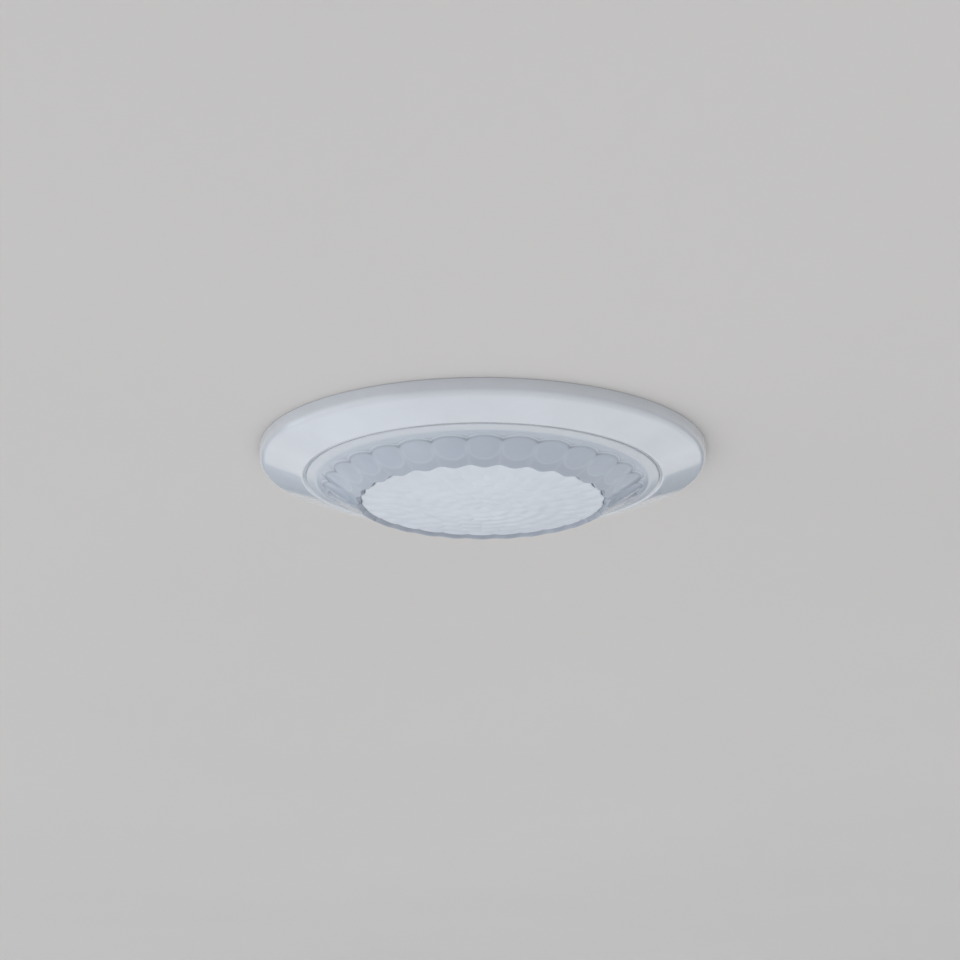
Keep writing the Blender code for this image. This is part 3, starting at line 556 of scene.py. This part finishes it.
def disc_section(degrees):
    """The white disc: a rippled face with a scalloped edge, and a flat back."""
    edge = disc_edge_r(lenslet_swing(degrees))
    section = [(0.0, disc_height(0, degrees))]
    for row in range(1, DISC_ROWS + 1):
        radius = (edge - DISC_ROUND) * row / DISC_ROWS
        section.append((radius, disc_height(radius, degrees)))
    last = section[-1][1]
    section += [(edge - 0.03, last + 0.05), (edge, last + 0.15), (edge, DISC_BACK_Z), (0.0, DISC_BACK_Z)]
    return section


def cap_section(degrees):
    """The cap's closed section at one angle: bead, lenslets, rim, skirt and back."""
    swing = lenslet_swing(degrees)
    edge = disc_edge_r(swing) + 0.02
    section = [(edge, DISC_BACK_Z), (edge, DISC_EDGE_Z + 0.12)]
    bead = bead_r(swing)
    bead_z = lenslet_height(bead, swing)
    for share in (0.35, 0.7, 0.92):
        radius = edge + (bead - edge) * share
        section.append((radius, DISC_EDGE_Z + 0.1 + (bead_z - DISC_EDGE_Z - 0.1) * share))
    top_r = ARCH_TOP_R - (ARCH_TOP_R - CUSP_R) * arch_share(swing)
    for row in range(LENSLET_ROWS + 1):
        radius = bead + (top_r - bead) * row / LENSLET_ROWS
        lip = LIP_HEIGHT * smooth_step(top_r - 0.55, top_r - 0.15, radius)
        section.append((radius, lenslet_height(radius, swing) - lip))
    rim_start = top_r + 0.14
    section.append((rim_start, CUSP_Z + (rim_start - CUSP_R) * RIM_SLOPE + 0.05))
    rim_end = RIM_R - RIM_ROUND
    for row in range(1, RIM_ROWS + 1):
        radius = rim_start + (rim_end - rim_start) * row / RIM_ROWS
        channel = 0.12 * bell(radius - CHANNEL_R, 0.45)
        section.append((radius, CUSP_Z + (radius - CUSP_R) * RIM_SLOPE + channel))
    section += arc((rim_end, RIM_Z + 0.22), RIM_ROUND, -70, 0, 4)
    section += [(RIM_R, RIM_BACK_Z), (SKIRT_R, RIM_BACK_Z), (SKIRT_R, SKIRT_BACK_Z)]
    section += [(SKIRT_INNER_R, SKIRT_BACK_Z), (SKIRT_INNER_R, RIM_BACK_Z)]
    section += [(CUSP_R, CUSP_Z + 1.5), (BEAD_R - 0.4, BEAD_Z + 1.85)]
    return section


def lens_key():
    """The key on the skirt that sets which way round the lens goes."""
    near, far = KEY_RADII
    half = KEY_HALF_WIDTH
    outline = [(near, -half), (far, -half), (far, half), (near, half)]
    vertices = [(x, y, z) for z in KEY_HEIGHTS for x, y in outline]
    faces = [(3, 2, 1, 0), (4, 5, 6, 7)]
    faces += [(i, (i + 1) % 4, (i + 1) % 4 + 4, i + 4) for i in range(4)]
    return vertices, faces


def frosted_lens():
    """The milky cap: clear grey-blue plastic, with painted highlights round the lenslets' circles and
    painted shade dark between and under them.
    """
    look = Look("lens_frosted", (0.5, 0.56, 0.62), 0.14)
    cloud = look.noise(70, 3)
    base = look.mix(look.remap(cloud, 0.3, 0.7, 0, 1), (0.50, 0.555, 0.635), (0.54, 0.60, 0.675))
    # The dark painted shade colour, mixed over the plastic's own tone
    with_painted_shade = look.mix(look.attribute("painted_shade"), base, (0.34, 0.37, 0.425))
    # Painted highlights round the lenslets' circles, arch tops and valleys
    painted_highlight = look.mix(look.attribute("painted_highlight"), with_painted_shade, (0.66, 0.715, 0.77))
    look.colour(look.mix(look.attribute("rim"), painted_highlight, (0.69, 0.725, 0.765)))
    fine = look.noise(900, 2)
    look.roughness(look.remap(fine, 0.3, 0.7, 0.12, 0.2))
    look.bump(look.noise(380, 2), 0.006 * MM)
    look.set("Coat Weight", 0.35)
    look.set("Coat Roughness", 0.06)
    return look.material


def paint_cap(cap):
    """Marks on the cap's points: painted highlights on the outlines, painted shade in the hollows and
    seams, and the milky rim with a painted shade line along its channel.
    """
    marks = {name: [] for name in ("painted_highlight", "painted_shade", "rim")}
    for vertex in cap.data.vertices:
        x, y, z = vertex.co / MM
        radius = math.hypot(x, y)
        swing = lenslet_swing(math.degrees(math.atan2(y, x)))
        side = lenslet_side(radius, swing)
        down = (ARCH_TOP_R - radius) / SLANT_COS
        from_circle = math.hypot(side, down - CIRCLE_MIDDLE) - CIRCLE_R
        top_r = ARCH_TOP_R - (ARCH_TOP_R - CUSP_R) * arch_share(swing)
        # The circle's painted highlight and painted shade are kept to its lower part
        lower = smooth_step(CIRCLE_MIDDLE - 1.6, CIRCLE_MIDDLE + 0.8, down)
        # Painted highlights where light catches edges: round each circle, along each arch top, and down
        # each valley (between)
        circle_highlight = CIRCLE_HIGHLIGHT[0] * bell(from_circle, CIRCLE_HIGHLIGHT[1]) * lower
        arch_highlight = ARCH_HIGHLIGHT[0] * bell(radius - top_r + 0.12, ARCH_HIGHLIGHT[1])
        between = VALLEY_HIGHLIGHT[0] * bell(1 - swing, VALLEY_HIGHLIGHT[1]) * (radius < top_r - 0.9)
        painted_highlight = min(circle_highlight + arch_highlight + between, 1.0)
        bead = bead_r(swing)
        marks["painted_highlight"].append(painted_highlight if radius > bead else 0.0)
        # Painted shade below the circles, under the arch tops, at the cusps and inside the bead
        shade_under_circle = CIRCLE_SHADE * smooth_step(0.1, 0.7, from_circle) * lower
        shade_under_arch = ARCH_SHADE[0] * bell(top_r - radius - 0.62, ARCH_SHADE[1])
        shade_at_cusp = CUSP_SHADE[0] * bell(1 - swing, CUSP_SHADE[1]) * bell(top_r - radius - 0.3, 0.5)
        shade_inside_bead = BEAD_SHADE * smooth_step(-0.05, 0.25, bead - radius)
        marks["painted_shade"].append(min(shade_under_circle + shade_under_arch + shade_at_cusp + shade_inside_bead, 1.0))
        # A painted shade line along the rim's channel, taken off the milky rim tone
        channel = CHANNEL_SHADE[0] * bell(radius - CHANNEL_R + 0.1, CHANNEL_SHADE[1])
        milky = smooth_step(ARCH_TOP_R - 0.9, RIM_R - 1.2, radius) - channel
        marks["rim"].append(max(milky, 0.0) * (radius > top_r))
    for name, values in marks.items():
        attribute = cap.data.attributes.new(name, "FLOAT", "POINT")
        attribute.data.foreach_set("value", values)


def make_lens():
    frosted = frosted_lens()
    columns = LENSLETS * COLUMNS_PER_LENSLET
    cap = turned("lens_cap", cap_section, columns, frosted)
    paint_cap(cap)
    white = moulded("lens_disc_white", (0.775, 0.815, 0.865), 0.34, 0.004)
    disc = turned("lens_disc", disc_section, columns, white)
    key = new_object("lens_key", *lens_key(), frosted)
    key.data.polygons.foreach_set("use_smooth", [False] * 6)
    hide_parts("fresnel_lens")
    for piece in (cap, disc, key):
        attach(piece, "lens")


# The torsion springs


def spring_route(side):
    """A leg up the housing's wall, the coil round the pin, and a leg down along the arm."""
    pin_x, pin_z = ARM_PIN
    route = []
    for step in range(WALL_LEG_STEPS):
        route.append((pin_x - SPRING_COIL_R, -SPRING_HALF_Y, pin_z + 6 - step * WALL_LEG_STEP))
    coil_steps = SPRING_TURNS * TURN_STEPS
    for step in range(coil_steps + 1):
        share = step / coil_steps
        degrees = 180 + share * (SPRING_TURNS * 360 - 90 + ARM_REST_DEGREES)
        x, z = on_circle(SPRING_COIL_R, degrees, (pin_x, pin_z))
        route.append((x, (2 * share - 1) * SPRING_HALF_Y, z))
    last = Vector(route[-1])
    turn = math.radians(ARM_REST_DEGREES)
    reach = (SPRING_LEG * math.cos(turn), SPRING_LEG * math.sin(turn))
    end = Vector((pin_x + reach[0], SPRING_HALF_Y, pin_z + reach[1]))
    for step in range(1, 9):
        route.append(tuple(last.lerp(end, step / 8)))
    return [(side * x, y, z) for x, y, z in route]


def wire_mesh(name, route, radius, material):
    """A round wire along the route, with its ends closed."""
    sides = 10
    points = [Vector(point) for point in route]
    vertices = []
    side = None
    for index, point in enumerate(points):
        before, after = points[max(index - 1, 0)], points[min(index + 1, len(points) - 1)]
        forward = (after - before).normalized()
        if side is None:
            side = forward.orthogonal()
        side = (side - forward * side.dot(forward)).normalized()
        other = forward.cross(side)
        for step in range(sides):
            x, y = on_circle(radius, 360 * step / sides)
            vertices.append(tuple(point + side * x + other * y))
    faces = []
    for ring in range(len(points) - 1):
        for step in range(sides):
            after = (step + 1) % sides
            low, high = ring * sides, (ring + 1) * sides
            faces.append((low + step, low + after, high + after, high + step))
    faces.append(tuple(range(sides))[::-1])
    faces.append(tuple(len(vertices) - sides + step for step in range(sides)))
    return new_object(name, vertices, faces, material)


def make_springs():
    steel = rolled_metal("spring_wire", (0.50, 0.51, 0.53), 0.28, (1, 0.2, 1), 1400)
    for name, side in (("left", -1), ("right", 1)):
        wire = wire_mesh(f"torsion_coil_{name}", spring_route(side), SPRING_WIRE_R, steel)
        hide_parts(f"torsion_spring_{name}")
        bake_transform(wire)


# The parts that stay as the frame has them


def finish_node(name, material):
    """Give a frame part its material, and edges that catch the light."""
    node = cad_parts[name]
    node.data.materials.clear()
    node.data.materials.append(material)
    node.data.polygons.foreach_set("use_smooth", [True] * len(node.data.polygons))
    weld = node.modifiers.new("weld", "WELD")
    weld.merge_threshold = WELD_DISTANCE * MM
    edge = node.modifiers.new("edges", "BEVEL")
    edge.width = EDGE_BEVEL * MM
    edge.segments = 2
    edge.limit_method = "ANGLE"
    edge.angle_limit = math.radians(SHARP_DEGREES)
    edge.harden_normals = True
    split = node.modifiers.new("normals", "WEIGHTED_NORMAL")
    split.keep_sharp = True


def dress_frame():
    housing = moulded("housing_plastic", (0.70, 0.715, 0.72), 0.42, 0.03)
    cover = moulded("cover_plastic", (0.66, 0.68, 0.69), 0.4, 0.03)
    chassis = moulded("chassis_plastic", (0.74, 0.755, 0.76), 0.42, 0.03)
    arm = rolled_metal("arm_steel", (0.66, 0.67, 0.69), 0.28, (0.25, 2.5, 0.25))
    pin = rolled_metal("pin_steel", (0.68, 0.68, 0.70), 0.22, (3, 0.2, 3))
    zinc = rolled_metal("screw_zinc", (0.64, 0.65, 0.66), 0.3, (1, 1, 0.3))
    nickel = rolled_metal("can_nickel", (0.70, 0.69, 0.66), 0.24, (1, 1, 0.3), 500)
    gold = rolled_metal("header_gold", (0.78, 0.60, 0.28), 0.26, (1, 1, 0.3))
    board = solder_mask("board_lacquer", (0.02, 0.16, 0.07))
    ivory = moulded("baffle_plastic", (0.76, 0.76, 0.74), 0.5, 0.02)
    orange = moulded("dial_plastic", (0.80, 0.30, 0.06), 0.35, 0.02)
    blue = moulded("potentiometer_plastic", (0.05, 0.15, 0.42), 0.35, 0.02)
    black = moulded("black_plastic", (0.035, 0.037, 0.042), 0.35, 0.025)
    grey = moulded("button_plastic", (0.52, 0.54, 0.57), 0.35, 0.02)
    white = moulded("terminal_plastic", (0.70, 0.71, 0.70), 0.4, 0.02)
    looks = {
        "rear_housing": housing,
        "terminal_cover": cover,
        "chassis": chassis,
        "baffle_plate": ivory,
        "sensor_board": board,
        "power_board": board,
        "pir_sensor_can": nickel,
        "pir_sensor_window": silicon("window_silicon"),
        "light_sensor": black,
        "light_guide": clear_acrylic("guide_acrylic"),
        "status_light": dipped("status_lens", (0.60, 0.04, 0.03)),
        "test_button": grey,
        "test_switch": black,
        "board_header": gold,
        "board_socket": black,
        "relay": black,
        "film_capacitor": dipped("film_yellow", (0.76, 0.52, 0.08)),
        "electrolytic_capacitor": dipped("electrolytic_sleeve", (0.04, 0.07, 0.22)),
        "choke": wound_copper("choke_copper", (0.72, 0.34, 0.16)),
        "varistor": dipped("varistor_red", (0.46, 0.09, 0.05)),
        "fuse": dipped("fuse_brown", (0.16, 0.07, 0.04)),
        "terminal_block": white,
        "cover_hinge_pin": rolled_metal("hinge_pin_steel", (0.68, 0.68, 0.70), 0.24, (0.2, 3, 3)),
        "board_screw_1": zinc,
        "board_screw_2": zinc,
    }
    for side in ("left", "right"):
        looks[f"spring_arm_{side}"] = arm
        looks[f"arm_pin_{side}"] = pin
    for control in ("time", "brightness", "range"):
        looks[f"{control}_dial"] = orange
        looks[f"{control}_potentiometer"] = blue
    for pole in range(1, 5):
        looks[f"terminal_screw_{pole}"] = zinc
    for name, material in looks.items():
        finish_node(name, material)


# The stage


def flat_look(name, colour, glow=0.0):
    """Matt paint with a faint change of tone. It may glow, to light the room evenly."""
    look = Look(name, colour, 0.75)
    tone = look.noise(3.0, 3)
    look.colour(look.mix(look.remap(tone, 0.35, 0.65, 0, 1), shaded(colour, 0.985), shaded(colour, 1.015)))
    look.set("Specular IOR Level", 0.2)
    look.set("Emission Color", (*colour, 1.0))
    look.set("Emission Strength", glow)
    return look


def horizon_look():
    """The dim far walls that the gloss picks up, lighter to the left."""
    look = flat_look("far_wall", (0.1, 0.11, 0.13))
    split = look.nodes.new("ShaderNodeSeparateXYZ")
    look.join(look.place, split.inputs["Vector"])
    across = look.remap(split.outputs["X"], -3, 3, 0, 1)
    away = look.remap(split.outputs["Y"], -1.5, 1.5, 0, 1)
    far = look.mix(across, (0.60, 0.68, 0.78), (0.27, 0.31, 0.355))
    look.colour(look.mix(away, (0.25, 0.215, 0.27), far))
    return look


def band(name, low, high, material):
    """A round band between two (radius, height) rings, facing away from the second."""
    columns = 72
    vertices = []
    for radius, height in (low, high):
        for column in range(columns):
            vertices.append((*on_circle(radius, 360 * column / columns), height))
    faces = []
    for column in range(columns):
        after = (column + 1) % columns
        faces.append((column, after, columns + after, columns + column))
    sheet = new_object(name, vertices, faces, material)
    return sheet


def make_room():
    """A ceiling that shows only from below, a softly glowing floor and dim walls between."""
    ceiling = flat_look("ceiling_paint", (0.715, 0.69, 0.665))
    clear = ceiling.nodes.new("ShaderNodeBsdfTransparent")
    choose = ceiling.nodes.new("ShaderNodeMixShader")
    side = ceiling.nodes.new("ShaderNodeNewGeometry")
    ceiling.join(side.outputs["Backfacing"], choose.inputs["Fac"])
    ceiling.join(ceiling.shader.outputs["BSDF"], choose.inputs[1])
    ceiling.join(clear.outputs["BSDF"], choose.inputs[2])
    ceiling.join(choose.outputs["Shader"], ceiling.nodes["Material Output"].inputs["Surface"])
    band("ceiling", (CEILING_HOLE_R, CEILING_Z), (CEILING_R, CEILING_Z), ceiling.material)
    floor = flat_look("floor_paint", (0.785, 0.795, 0.81), 0.425)
    band("floor", (FLOOR_R, FLOOR_Z), (1, FLOOR_Z), floor.material)
    far_wall = band("far_wall", (WALL_R, WALL_LOW_Z), (WALL_R, -2), horizon_look().material)
    far_wall.visible_camera = False
    world = bpy.data.worlds.new("pale_studio")
    world.use_nodes = True
    background = world.node_tree.nodes["Background"]
    background.inputs["Color"].default_value = WORLD_COLOUR
    background.inputs["Strength"].default_value = WORLD_STRENGTH
    bpy.context.scene.world = world


def area_light(name, place, target, size, power, colour):
    """A soft lamp in metres and watts, turned to its target and hidden from the camera."""
    data = bpy.data.lights.new(name, "AREA")
    data.shape = "RECTANGLE"
    data.size, data.size_y = size
    data.energy = power
    data.color = colour
    lamp = bpy.data.objects.new(name, data)
    lamp.location = place
    lamp.rotation_mode = "QUATERNION"
    lamp.rotation_quaternion = (Vector(target) - Vector(place)).to_track_quat("-Z", "Y")
    lamp.visible_camera = False
    bpy.context.scene.collection.objects.link(lamp)
    return lamp


def make_lights():
    cool = (0.90, 0.95, 1.0)
    area_light("below", (0.0, 0.0, -1.15), (0, 0, 0), (3.0, 3.0), 3.8, cool)
    area_light("left_window", (-1.9, -0.3, -0.95), (0, 0, 0), (3.0, 3.0), 19.0, cool)
    far_floor = area_light("far_floor", (0.0, 3.0, -1.05), (0, 0, -0.1), (4.5, 0.7), 5, cool)
    far_floor.visible_glossy = False
    area_light("above_left", (-0.9, -0.9, 1.1), (0, 0, 0.02), (1.2, 1.2), 11, (1.0, 0.98, 0.96))
    area_light("above_right", (1.2, 0.6, 0.8), (0, 0, 0.02), (1.0, 1.0), 5, cool)


def make_camera():
    data = bpy.data.cameras.new("camera")
    data.lens = CAMERA_LENS
    data.sensor_width = CAMERA_SENSOR
    data.shift_x, data.shift_y = CAMERA_SHIFT
    data.clip_start = 0.01
    data.clip_end = 50
    camera = bpy.data.objects.new("camera", data)
    camera.location = CAMERA_PLACE
    camera.rotation_mode = "QUATERNION"
    camera.rotation_quaternion = (-Vector(camera.location)).to_track_quat("-Z", "Y")
    bpy.context.scene.collection.objects.link(camera)
    bpy.context.scene.camera = camera


bpy.context.scene.view_settings.view_transform = "Standard"
make_camera()
make_bezel()
make_lens()
make_springs()
dress_frame()
make_room()
make_lights()
